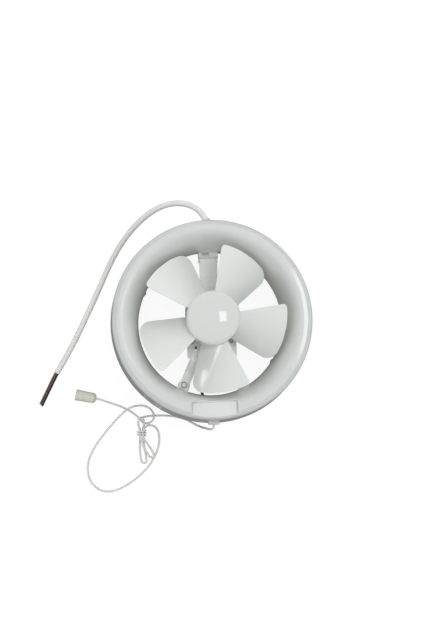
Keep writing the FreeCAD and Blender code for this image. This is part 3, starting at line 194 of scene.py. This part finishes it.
# The floor, in metres and in strengths where 1 is white
FLOOR_HALF = 6.0
FLOOR_DROP = 0.0002
FLOOR_GLOW = 0.915      # what the camera sees in full shadow
FLOOR_SHADOW = 0.135    # what full light adds to it
FLOOR_MIRRORED = 0.10   # the glow that reflections show instead
FLOOR_BOUNCE = 0.06     # light that the floor throws back

# The sky's strength as light, and the heights between which it fades, from 0 at the horizon to 1 overhead
SKY_LOW = 1.05
SKY_BAND = 0.62
SKY_TOP = 0.0
SKY_LOW_FADE = (0.15, 0.50)
SKY_TOP_FADE = (0.75, 0.95)

# Lamps, in metres and watts
SOFT_TARGET = (0.05, 0.10, 0.06)
STRIP_X = 0.62
FILL_POWER = 0.048
FILL_COLOUR = (1.0, 0.93, 0.82)
FILL_R = 0.020
FILL_Z = 0.040


def new_object(name, data, body=None):
    obj = bpy.data.objects.new(name, data)
    scene.collection.objects.link(obj)
    if body:
        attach(obj, body)
    return obj


# Materials


class Graph:
    """A short way to write the nodes of a material or of the world."""

    # The mix node's colour sockets come after those for numbers and vectors
    MIX_FIRST = 6
    MIX_SECOND = 7
    MIX_RESULT = 2

    def __init__(self, owner):
        owner.use_nodes = True
        self.tree = owner.node_tree

    def add(self, kind, **values):
        node = self.tree.nodes.new(kind)
        for key, value in values.items():
            setattr(node, key, value)
        return node

    def put(self, node, key, value):
        """Set a node's input to a constant, or link another node's output to it."""
        socket = node.inputs[key]
        if isinstance(value, bpy.types.NodeSocket):
            self.tree.links.new(value, socket)
        else:
            socket.default_value = value

    def coordinates(self, kind):
        return self.add("ShaderNodeTexCoord").outputs[kind]

    def axes(self, vector):
        """A vector's outputs X, Y and Z."""
        node = self.add("ShaderNodeSeparateXYZ")
        self.put(node, 0, vector)
        return node.outputs

    def maths(self, operation, first, second=0.0):
        node = self.add("ShaderNodeMath", operation=operation)
        self.put(node, 0, first)
        self.put(node, 1, second)
        return node.outputs[0]

    def spread(self, value, low, high, start=0.3, end=0.7, fade="LINEAR"):
        """Low up to the start, high from the end, and a fade between them."""
        node = self.add("ShaderNodeMapRange", interpolation_type=fade)
        self.put(node, "Value", value)
        for key, number in (("From Min", start), ("From Max", end), ("To Min", low), ("To Max", high)):
            self.put(node, key, number)
        return node.outputs["Result"]

    def mix(self, factor, first, second):
        node = self.add("ShaderNodeMix", data_type="RGBA")
        self.put(node, 0, factor)
        self.put(node, self.MIX_FIRST, first)
        self.put(node, self.MIX_SECOND, second)
        return node.outputs[self.MIX_RESULT]

    def seen(self):
        """Two switches: for what a reflection shows, and for what it or the camera shows."""
        path = self.add("ShaderNodeLightPath").outputs
        mirrored = self.maths("MAXIMUM", path["Is Glossy Ray"], path["Is Transmission Ray"])
        return mirrored, self.maths("MAXIMUM", path["Is Camera Ray"], mirrored)


class Surface(Graph):
    """The nodes of a piece's material, with patterns that lie in its own coordinates."""

    def __init__(self, name):
        self.material = bpy.data.materials.new(name)
        super().__init__(self.material)
        self.shader = self.tree.nodes["Principled BSDF"]
        self.where = self.coordinates("Object")

    def stretched(self, x, y, z):
        node = self.add("ShaderNodeMapping")
        self.put(node, "Vector", self.where)
        self.put(node, "Scale", (x, y, z))
        return node.outputs[0]

    def noise(self, scale, detail=3.0, rough=0.5, where=None):
        node = self.add("ShaderNodeTexNoise")
        self.put(node, "Vector", where or self.where)
        self.put(node, "Scale", scale)
        self.put(node, "Detail", detail)
        self.put(node, "Roughness", rough)
        return node.outputs["Fac"]

    def wave(self, scale, kind="BANDS", distortion=0.0):
        """Bands along Z or rings round it."""
        node = self.add("ShaderNodeTexWave", wave_type=kind, bands_direction="Z", rings_direction="Z")
        self.put(node, "Vector", self.where)
        self.put(node, "Scale", scale)
        self.put(node, "Distortion", distortion)
        return node.outputs["Fac"]

    def bump(self, height, depth, below=None):
        node = self.add("ShaderNodeBump")
        self.put(node, "Height", height)
        self.put(node, "Distance", depth)
        if below is not None:
            self.put(node, "Normal", below)
        return node.outputs["Normal"]

    def finish(self, **values):
        for key, value in values.items():
            self.put(self.shader, key.replace("_", " "), value)
        return self.material


def shade(colour, factor):
    return tuple(min(1.0, c * factor) for c in colour) + (1.0,)


def moulded(name, colour, rough, peel=0.00002, tint=0.05, specks=0.12, shine=0.5, cap=None):
    """Injection-moulded plastic: a faint flow pattern, a fine skin and slightly uneven gloss.

    A cap, (radius, painted shade, roughness), is a zone round the axis with a roughness of its own and a
    painted shade that darkens its colour.
    """
    g = Surface(name)
    flow = g.noise(scale=16.0, detail=2.0)
    speck = g.noise(scale=900.0, detail=2.0)
    body = g.mix(g.spread(flow, 0.0, 1.0), shade(colour, 1.0 - tint), shade(colour, 1.0 + tint * 0.5))
    body = g.mix(g.spread(speck, 0.0, specks, start=0.62, end=0.8), body, shade(colour, 0.82))
    gloss = g.spread(g.noise(scale=60.0), rough * 0.82, rough * 1.2)
    if cap:
        cap_radius, cap_painted_shade, cap_rough = cap
        radius = g.add("ShaderNodeVectorMath", operation="LENGTH")
        g.put(radius, 0, g.stretched(1.0, 1.0, 0.0))
        inside = g.spread(radius.outputs["Value"], 1.0, 0.0, start=cap_radius, end=cap_radius * CAP_EDGE)
        # painted shade: the cap's colour is darkened to offset the stronger light that its flat top catches
        body = g.mix(inside, body, shade(colour, cap_painted_shade))
        polish = g.maths("MULTIPLY", inside, 1.0 - cap_rough / rough)
        gloss = g.maths("MULTIPLY", gloss, g.maths("SUBTRACT", 1.0, polish))
    skin = g.bump(g.noise(scale=420.0, detail=2.0), depth=peel)
    return g.finish(Base_Color=body, Roughness=gloss, Normal=skin, Specular_IOR_Level=shine)


def metal(name, colour, rough, grain=(1.0, 1.0, 1.0), dull=0.25, scratch=0.00001):
    """Plated or ground metal with a grain, dull patches and fine scratches."""
    g = Surface(name)
    lines = g.noise(scale=1400.0, detail=4.0, where=g.stretched(*grain))
    patches = g.noise(scale=120.0, detail=4.0)
    body = g.mix(g.spread(patches, 0.0, 1.0), shade(colour, 1.0 - dull), shade(colour, 1.05))
    gloss = g.spread(lines, rough * 0.7, rough * 1.5)
    return g.finish(Base_Color=body, Metallic=1.0, Roughness=gloss, Normal=g.bump(lines, depth=scratch))


def matt(name, colour, rough, fineness=700.0, depth=0.00006, tint=0.12):
    """Rubber, foam or unpolished moulding with a fine grain."""
    g = Surface(name)
    grain = g.noise(scale=fineness, detail=4.0, rough=0.6)
    wide = g.noise(scale=40.0)
    body = g.mix(g.spread(wide, 0.0, 1.0), shade(colour, 1.0 - tint), shade(colour, 1.0 + tint))
    body = g.mix(g.spread(grain, 0.0, 0.4, start=0.5, end=0.8), body, shade(colour, 0.7))
    gloss = g.spread(g.noise(scale=90.0, detail=2.0), rough * 0.88, min(1.0, rough * 1.12))
    return g.finish(Base_Color=body, Roughness=gloss, Normal=g.bump(grain, depth))


def painted_sheet(name, colour, rough):
    """Painted steel sheet with orange peel and a little dust."""
    g = Surface(name)
    dust = g.noise(scale=30.0, detail=5.0)
    body = g.mix(g.spread(dust, 0.0, 1.0), shade(colour, 0.93), shade(colour, 1.04))
    peel = g.noise(scale=650.0, detail=2.0)
    gloss = g.spread(g.noise(scale=80.0, detail=2.0), rough * 0.85, rough * 1.2)
    return g.finish(Base_Color=body, Roughness=gloss, Normal=g.bump(peel, depth=0.00004))


def laminations(name, colour, stain):
    """Stacked steel sheets, varnished and stained: fine lines across the axis."""
    g = Surface(name)
    sheets = g.wave(scale=310.0)
    patches = g.noise(scale=70.0, detail=4.0)
    body = g.mix(g.spread(sheets, 0.0, 1.0), shade(colour, 0.55), shade(colour, 1.25))
    body = g.mix(g.spread(patches, 0.0, 0.5), body, shade(stain, 1.0))
    return g.finish(Base_Color=body, Metallic=0.6, Roughness=0.42, Normal=g.bump(sheets, depth=0.00012))


def windings(name, colour):
    """Enamelled wire wound in layers round the axis."""
    g = Surface(name)
    rings = g.wave(scale=330.0, kind="RINGS", distortion=0.6)
    layers = g.wave(scale=330.0, distortion=0.6)
    wire = g.maths("MAXIMUM", rings, layers)
    body = g.mix(g.spread(wire, 0.0, 1.0, start=0.2, end=0.9), shade(colour, 0.35), shade(colour, 1.15))
    return g.finish(Base_Color=body, Metallic=0.85, Roughness=0.32, Normal=g.bump(wire, depth=0.0002))


def braided(name, colour, rough, yarns, lay):
    """Woven cord: two sets of yarns laid round the cord against each other, along the tube's own UV."""
    g = Surface(name)
    uv = g.axes(g.coordinates("UV"))
    around = g.maths("MULTIPLY", uv["X"], 2.0 * math.pi * yarns)
    along = g.maths("MULTIPLY", uv["Y"], 2.0 * math.pi / lay)
    right = g.maths("SINE", g.maths("ADD", around, along))
    left = g.maths("SINE", g.maths("SUBTRACT", around, along))
    yarn = g.maths("MAXIMUM", right, left)
    fuzz = g.noise(scale=1800.0)
    body = g.mix(g.spread(yarn, 0.0, 1.0, start=-0.4, end=0.9), shade(colour, 0.93), shade(colour, 1.03))
    body = g.mix(g.spread(fuzz, 0.0, 0.15, start=0.4, end=0.8), body, shade(colour, 0.95))
    skin = g.bump(yarn, depth=0.00005, below=g.bump(fuzz, depth=0.00002))
    return g.finish(Base_Color=body, Roughness=rough, Normal=skin, Sheen_Weight=0.3)


RECIPES = {
    "ring_plastic": (moulded, dict(
        colour=(0.698, 0.723, 0.710), rough=0.07, peel=0.000004, tint=0.02, shine=0.45)),
    "plate_plastic": (moulded, dict(colour=(0.80, 0.815, 0.81), rough=0.32, peel=0.00001)),
    "blade_plastic": (moulded, dict(
        colour=(0.855, 0.885, 0.862), rough=0.13, peel=0.0000015, tint=0.02,
        cap=(HUB_CAP_R, HUB_CAP_PAINTED_SHADE, HUB_CAP_ROUGH))),
    "foam": (matt, dict(colour=(0.045, 0.045, 0.048), rough=0.95, fineness=1300.0, depth=0.0003, tint=0.2)),
    "bracket_paint": (painted_sheet, dict(colour=(0.93, 0.945, 0.935), rough=0.34)),
    "zinc": (metal, dict(colour=(0.74, 0.75, 0.74), rough=0.42)),
    "cast": (metal, dict(colour=(0.52, 0.52, 0.53), rough=0.48, dull=0.3, scratch=0.00005)),
    "laminations": (laminations, dict(colour=(0.20, 0.20, 0.21), stain=(0.16, 0.10, 0.06))),
    "copper": (windings, dict(colour=(0.55, 0.22, 0.09))),
    "bronze": (metal, dict(colour=(0.46, 0.32, 0.17), rough=0.42)),
    "steel": (metal, dict(colour=(0.60, 0.60, 0.61), rough=0.22, grain=(1.0, 1.0, 0.05))),
    "grommet_rubber": (matt, dict(colour=(0.66, 0.66, 0.65), rough=0.60)),
    "lead_black": (matt, dict(colour=(0.022, 0.022, 0.024), rough=0.62)),
    "nylon": (matt, dict(colour=(0.74, 0.73, 0.67), rough=0.5, fineness=500.0, depth=0.00003, tint=0.05)),
    "phenolic": (matt, dict(colour=(0.05, 0.035, 0.03), rough=0.38, fineness=400.0, depth=0.00003)),
    "brass": (metal, dict(colour=(0.72, 0.53, 0.24), rough=0.25, grain=(1.0, 0.08, 1.0))),
    "cord_white": (braided, dict(colour=(0.86, 0.86, 0.85), rough=0.75, yarns=YARNS, lay=CORD_LAY)),
    "knob_plastic": (moulded, dict(colour=(0.75, 0.745, 0.655), rough=0.30, specks=0.03)),
    "jacket": (moulded, dict(
        colour=(0.90, 0.90, 0.885), rough=0.40, peel=0.000001, tint=0.02, specks=0.01)),
    "core_brown": (matt, dict(
        colour=(0.150, 0.050, 0.013), rough=0.62, fineness=300.0, depth=0.00001, tint=0.1)),
    "core_blue": (matt, dict(
        colour=(0.008, 0.006, 0.022), rough=0.62, fineness=300.0, depth=0.00001, tint=0.1)),
}
MATERIALS = {name: make(name, **values) for name, (make, values) in RECIPES.items()}

slot_of = {part["node"]: part["material_slot"] for part in frame["record"]["subparts"]}
for name, obj in nodes.items():
    obj.data.materials.clear()
    obj.data.materials.append(MATERIALS[slot_of[name]])


# Cords


def route(points, exit_point):
    """A route's points in metres, in the fan's frame."""
    return [Vector((exit_point.x + x, exit_point.y + y, z)) * MM for x, y, z in points]


def coil(start, radius, pitch, turns, per_turn):
    """Points of a coil whose axis starts at a point and runs along Y, by the pitch each turn."""
    made = []
    for i in range(turns * per_turn + 1):
        turn = i / per_turn
        angle = 2.0 * math.pi * turn
        x = start[0] + radius * math.cos(angle)
        z = start[2] + radius * math.sin(angle)
        made.append((x, start[1] + pitch * turn, z))
    return made


def spline_points(points):
    """Points along the smooth spline that has the route's points as its control points."""
    curve = bpy.data.curves.new("line", "CURVE")
    curve.dimensions = "3D"
    curve.resolution_u = SPLINE_STEPS
    spline = curve.splines.new("NURBS")
    spline.points.add(len(points) - 1)
    for target, point in zip(spline.points, points):
        target.co = (*point, 1.0)
    spline.order_u = 3
    spline.use_endpoint_u = True
    obj = new_object("line", curve)
    mesh = bpy.data.meshes.new_from_object(obj)
    line = [v.co.copy() for v in mesh.vertices]
    bpy.data.objects.remove(obj)
    bpy.data.meshes.remove(mesh)
    return line


def even(line, step):
    """The same line with points at even steps, and its length."""
    total = sum((b - a).length for a, b in zip(line, line[1:]))
    count = max(2, round(total / step))
    pitch = total / count
    made = [line[0]]
    left = pitch
    for a, b in zip(line, line[1:]):
        run = (b - a).length
        while left <= run + ROUNDING and len(made) < count:
            made.append(a.lerp(b, left / run))
            left += pitch
        left -= run
    made.append(line[-1])
    return made, total


def sections(line):
    """Each point of a line with its distance along it and two directions across it, which don't twist."""
    tangent = (line[1] - line[0]).normalized()
    side = tangent.orthogonal().normalized()
    along = 0.0
    made = []
    for i, point in enumerate(line):
        ahead = (line[min(i + 1, len(line) - 1)] - line[max(i - 1, 0)]).normalized()
        side = tangent.rotation_difference(ahead) @ side
        tangent = ahead
        side = (side - tangent * side.dot(tangent)).normalized()
        if i:
            along += (point - line[i - 1]).length
        made.append((point, along, side, tangent.cross(side)))
    return made


def tube_mesh(name, line, radius, sides, relief=None):
    """A closed tube along a line, with its UV round it and, in metres, along it.

    A relief(angle, along) scales the radius.
    """
    bm = bmesh.new()
    uv = bm.loops.layers.uv.new("UVMap")
    rings = []
    lengths = []
    for point, along, side, other in sections(line):
        ring = []
        for k in range(sides):
            angle = 2.0 * math.pi * k / sides
            size = radius * (relief(angle, along) if relief else 1.0)
            ring.append(bm.verts.new(point + (side * math.cos(angle) + other * math.sin(angle)) * size))
        rings.append(ring)
        lengths.append(along)
    for i in range(len(rings) - 1):
        for k in range(sides):
            n = (k + 1) % sides
            face = bm.faces.new((rings[i][k], rings[i][n], rings[i + 1][n], rings[i + 1][k]))
            face.smooth = True
            corners = ((k, i), (k + 1, i), (k + 1, i + 1), (k, i + 1))
            for loop, (u, v) in zip(face.loops, corners):
                loop[uv].uv = (u / sides, lengths[v])
    for ring, point, flip in ((rings[0], line[0], True), (rings[-1], line[-1], False)):
        middle = bm.verts.new(point)
        for k in range(sides):
            n = (k + 1) % sides
            bm.faces.new((middle, ring[n], ring[k]) if flip else (middle, ring[k], ring[n]))
    mesh = bpy.data.meshes.new(name)
    bm.to_mesh(mesh)
    bm.free()
    return mesh


def yarn_relief(lay):
    """The weave's relief, for a tube: its high places are where a yarn runs."""
    def relief(angle, along):
        turn = 2.0 * math.pi * along / lay
        high = max(math.sin(YARNS * angle + turn), math.sin(YARNS * angle - turn))
        return 1.0 + YARN_DEPTH * (max(0.0, high) - 0.5)
    return relief


def cord_piece(name, points, diameter, body, slot, fineness, relief=None):
    """A cord along a route, with the line that it follows and its length."""
    step, sides = fineness
    line, total = even(spline_points(points), step)
    obj = new_object(name, tube_mesh(name, line, diameter / 2.0, sides, relief), body)
    obj.data.materials.append(MATERIALS[slot])
    return obj, line, total


# The supply cable and its two cores
cable_points = route(CABLE_ROUTE, CABLE_EXIT)
cable, cable_line, cable_length = cord_piece(
    "supply_cable", cable_points, CABLE_D * MM, "frame", "jacket", CABLE_MESH)
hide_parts("power_cord")
cable_way = (cable_points[-1] - cable_points[-2]).normalized()
core_side = cable_way.cross(Vector((0.0, 0.0, 1.0))).normalized() * (CORE_D * CORE_APART)
for name, points, sign in (("brown", BROWN_ROUTE, 1.0), ("blue", BLUE_ROUTE, -1.0)):
    core_points = route(points, cable_points[-1] / MM + core_side * sign)
    core, core_line, core_length = cord_piece(
        "wire_" + name, core_points, CORE_D * MM, "frame", "core_" + name, CORE_MESH)
    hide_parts("core_" + name)

# The pull cord, and the wrap that ties its hank
pull_points = route(PULL_LEAD + PULL_HANK + PULL_LOOP + PULL_TAIL, PULL_EXIT)
pull, pull_line, pull_length = cord_piece(
    "pull_cord", pull_points, CORD_D * MM, "pull", "cord_white", CORD_MESH, yarn_relief(CORD_LAY))
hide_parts("pull_cord_lead", "pull_cord_hank", "pull_cord_loop", "pull_cord_tail")
tie_points = route(coil(TIE_CENTRE, TIE_R, -TIE_PITCH, TIE_TURNS, TIE_POINTS), PULL_EXIT)
tie, _, _ = cord_piece(
    "hank_wrap", tie_points, TIE_D * MM, "pull", "cord_white", CORD_MESH, yarn_relief(TIE_LAY))
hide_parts("hank_tie")

# The two leads that cross behind the fan
for name, points, node in (("lead_motor", MOTOR_LEAD, "motor_lead"),
                           ("lead_return", RETURN_LEAD, "switch_return")):
    lead_points = route(points, ORIGIN)
    lead, lead_line, lead_length = cord_piece(
        name, lead_points, LEAD_D * MM, "frame", "lead_black", LEAD_MESH)
    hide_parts(node)

# The switch's return spring
spring_pitch = (SPRING_FRONT - SPRING_REAR) / SPRING_TURNS
spring_coil = coil((PULL_X, SPRING_REAR, PULL_Z), SPRING_R, spring_pitch, SPRING_TURNS, SPRING_POINTS)
spring_mesh = tube_mesh("return_spring", route(spring_coil, ORIGIN), SPRING_WIRE / 2.0 * MM, SPRING_SIDES)
spring_mesh.materials.append(MATERIALS["steel"])
spring = new_object("return_spring", spring_mesh, "frame")
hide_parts("switch_spring")
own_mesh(spring)


# Floor, sky, lamps and camera


def grey(level):
    return (level, level, level, 1.0)


def floor_material():
    """White to the camera with a faint shadow, dark in reflections and in the light that it throws back."""
    material = bpy.data.materials.new("floor")
    g = Graph(material)
    g.tree.nodes.remove(g.tree.nodes["Principled BSDF"])
    mirrored, seen = g.seen()
    table = g.add("ShaderNodeBsdfDiffuse")
    g.put(table, "Color", grey(FLOOR_BOUNCE))
    shadow = g.add("ShaderNodeBsdfDiffuse")
    g.put(shadow, "Color", grey(FLOOR_SHADOW))
    glow = g.add("ShaderNodeEmission")
    g.put(glow, "Strength", g.spread(mirrored, FLOOR_GLOW, FLOOR_MIRRORED, start=0.0, end=1.0))
    both = g.add("ShaderNodeAddShader")
    g.put(both, 0, shadow.outputs[0])
    g.put(both, 1, glow.outputs[0])
    choose = g.add("ShaderNodeMixShader")
    g.put(choose, 0, seen)
    g.put(choose, 1, table.outputs[0])
    g.put(choose, 2, both.outputs[0])
    g.put(g.tree.nodes["Material Output"], "Surface", choose.outputs[0])
    return material


def make_floor():
    mesh = bpy.data.meshes.new("floor")
    signs = ((-1, -1), (1, -1), (1, 1), (-1, 1))
    corners = [(x * FLOOR_HALF, y * FLOOR_HALF, 0.0) for x, y in signs]
    mesh.from_pydata(corners, [], [(0, 1, 2, 3)])
    mesh.materials.append(floor_material())
    floor = new_object("floor", mesh)
    floor.location.z = -FLOOR_DROP
    return floor


def make_sky():
    """White to the camera and in reflections; as light, strong near the horizon and dark overhead."""
    world = bpy.data.worlds.new("studio")
    g = Graph(world)
    height = g.axes(g.coordinates("Generated"))["Z"]
    lower = g.spread(height, SKY_LOW, SKY_BAND, *SKY_LOW_FADE, fade="SMOOTHSTEP")
    light = g.spread(height, lower, SKY_TOP, *SKY_TOP_FADE, fade="SMOOTHSTEP")
    _, seen = g.seen()
    background = g.tree.nodes["Background"]
    g.put(background, "Color", grey(1.0))
    g.put(background, "Strength", g.spread(seen, light, 1.0, start=0.0, end=1.0))
    return world


def facing(place, side, back):
    """The placing of a lamp or camera that looks away from back, with its own X along side."""
    return Matrix.Translation(place) @ Matrix((side, back.cross(side), back)).transposed().to_4x4()


def keep_to(lamp, piece, unblocked=False):
    """Let a lamp light one piece alone; unblocked, no other piece stands in its way."""
    group = bpy.data.collections.new(lamp.name + "_pieces")
    group.objects.link(piece)
    lamp.light_linking.receiver_collection = group
    if unblocked:
        lamp.light_linking.blocker_collection = group


def area_light(name, place, target, size, power, along=(0.0, 1.0, 0.0), gloss_on=None):
    """A rectangle of light whose second side lies as near as it goes to a direction.

    With gloss_on, it only gives that piece a reflection.
    """
    lamp = bpy.data.lights.new(name, "AREA")
    lamp.shape = "RECTANGLE"
    lamp.size, lamp.size_y = size
    lamp.energy = power
    obj = new_object(name, lamp)
    back = (Vector(place) - Vector(target)).normalized()
    obj.matrix_world = facing(place, Vector(along).cross(back).normalized(), back)
    obj.visible_camera = False
    if gloss_on:
        obj.visible_diffuse = False
        keep_to(obj, gloss_on)
    return obj


def fill_light(name, piece):
    """A faint lamp in the duct, which lights one piece through all others."""
    lamp = bpy.data.lights.new(name, "POINT")
    lamp.energy = FILL_POWER
    lamp.color = FILL_COLOUR
    lamp.shadow_soft_size = FILL_R
    obj = new_object(name, lamp)
    obj.location.z = FILL_Z
    obj.visible_camera = False
    obj.visible_glossy = False
    keep_to(obj, piece, unblocked=True)


def make_camera():
    """The photo's view, shifted so that the pivot is at its place in the photo."""
    data = bpy.data.cameras.new("camera")
    data.sensor_fit = "AUTO"
    data.sensor_width = SENSOR
    data.lens = SENSOR * PX_PER_MM / MM * VIEW_DISTANCE / IMAGE_H
    data.shift_x = (IMAGE_W / 2.0 - PIVOT_PX[0]) / IMAGE_H
    data.shift_y = (PIVOT_PX[1] - IMAGE_H / 2.0) / IMAGE_H
    right = Vector((math.cos(VIEW_ROLL), -math.sin(VIEW_ROLL), 0.0))
    right = (right - VIEW_BACK * right.dot(VIEW_BACK)).normalized()
    camera = new_object("camera", data)
    camera.matrix_world = facing(PIVOT + VIEW_BACK * VIEW_DISTANCE, right, VIEW_BACK)
    return camera


floor = make_floor()
scene.world = make_sky()

# Soft light from above and from the cable's side, which leaves no reflection
ceiling = area_light("ceiling", place=(0.05, 0.10, 1.60), target=SOFT_TARGET, size=(0.8, 0.8), power=7.6)
key = area_light("key", place=(0.25, 1.25, 1.15), target=SOFT_TARGET, size=(1.1, 1.1), power=2.0)
for lamp in (ceiling, key):
    lamp.visible_glossy = False
# The window on the hub, the streak on the lower blade, the ring's crest and its throat
area_light("window", place=(0.32, 0.165, 1.55), target=(0.0, 0.0, 0.11), size=(0.20, 0.245), power=0.9)
area_light("lamp", place=(-0.285, -0.0275, 0.190), target=(-0.005, -0.048, 0.085), size=(0.035, 0.070),
           power=0.055, along=(0.0, 0.82, 0.57), gloss_on=nodes["impeller"])
for name, x in (("left", -STRIP_X), ("right", STRIP_X)):
    area_light(name, place=(x, 0.05, 1.22), target=(0.0, 0.0, 0.10), size=(0.14, 1.40), power=3.0,
               gloss_on=nodes["front_ring"])
fill_light("fill", nodes["front_ring"])

scene.camera = make_camera()
scene.view_settings.view_transform = "Standard"
